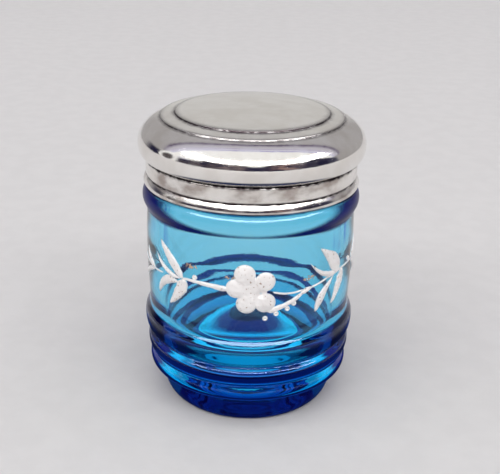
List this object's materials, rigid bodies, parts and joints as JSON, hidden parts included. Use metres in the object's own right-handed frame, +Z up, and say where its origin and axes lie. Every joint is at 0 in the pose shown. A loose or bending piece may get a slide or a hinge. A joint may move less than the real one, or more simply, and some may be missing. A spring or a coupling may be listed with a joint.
{
  "type": "dressing table jar",
  "caption": "Round ribbed glass dressing table jar with raised enamel flower spray, cemented metal collar and lift-off domed metal lid.",
  "frame": {"origin": "centre of the base ring, on the plane that the jar stands on", "axes": "+Z up along the jar's axis; the flower spray faces -Y"},
  "size_m": [0.0718, 0.0718, 0.0977],
  "materials": {
    "coloured_glass": "clear blue glass, smooth and glossy",
    "plated_metal": "polished silver plate with dark tarnish in the seams",
    "neck_cement": "matt white cement",
    "white_enamel": "fired opaque white enamel, slightly pitted"
  },
  "bodies": {
    "jar": {"glass_jar": "coloured_glass", "neck_cement": "neck_cement", "collar": "plated_metal", "enamel_petal_1": "white_enamel", "enamel_petal_2": "white_enamel", "enamel_petal_3": "white_enamel", "enamel_petal_4": "white_enamel", "enamel_petal_5": "white_enamel", "enamel_left_stem": "white_enamel", "enamel_left_far_stem": "white_enamel", "enamel_right_upper_stem": "white_enamel", "enamel_right_lower_stem": "white_enamel", "enamel_right_stem_tip": "white_enamel", "enamel_right_far_stem": "white_enamel", "enamel_left_leaf_upper": "white_enamel", "enamel_left_leaf_slim": "white_enamel", "enamel_left_leaf_low": "white_enamel", "enamel_left_leaf_drop": "white_enamel", "enamel_left_far_leaf_upper": "white_enamel", "enamel_left_far_leaf_lower": "white_enamel", "enamel_right_bud": "white_enamel", "enamel_right_leaf_upper": "white_enamel", "enamel_right_leaf_slim": "white_enamel", "enamel_right_leaf_outer": "white_enamel", "enamel_right_leaf_inner": "white_enamel", "enamel_right_far_leaf_upper": "white_enamel", "enamel_right_far_leaf_lower": "white_enamel", "enamel_left_dot": "white_enamel", "enamel_right_dot_1": "white_enamel", "enamel_right_dot_2": "white_enamel", "enamel_right_dot_3": "white_enamel", "enamel_right_dot_4": "white_enamel", "enamel_right_far_bud": "white_enamel"},
    "lid": {"lid_shell": "plated_metal", "lid_sleeve": "plated_metal"}
  },
  "joints": [
    {"name": "lid_lift", "type": "slide", "parent": "jar", "child": "lid", "axis": [0, 0, 1], "range_m": [0, 0.03]}
  ]
}
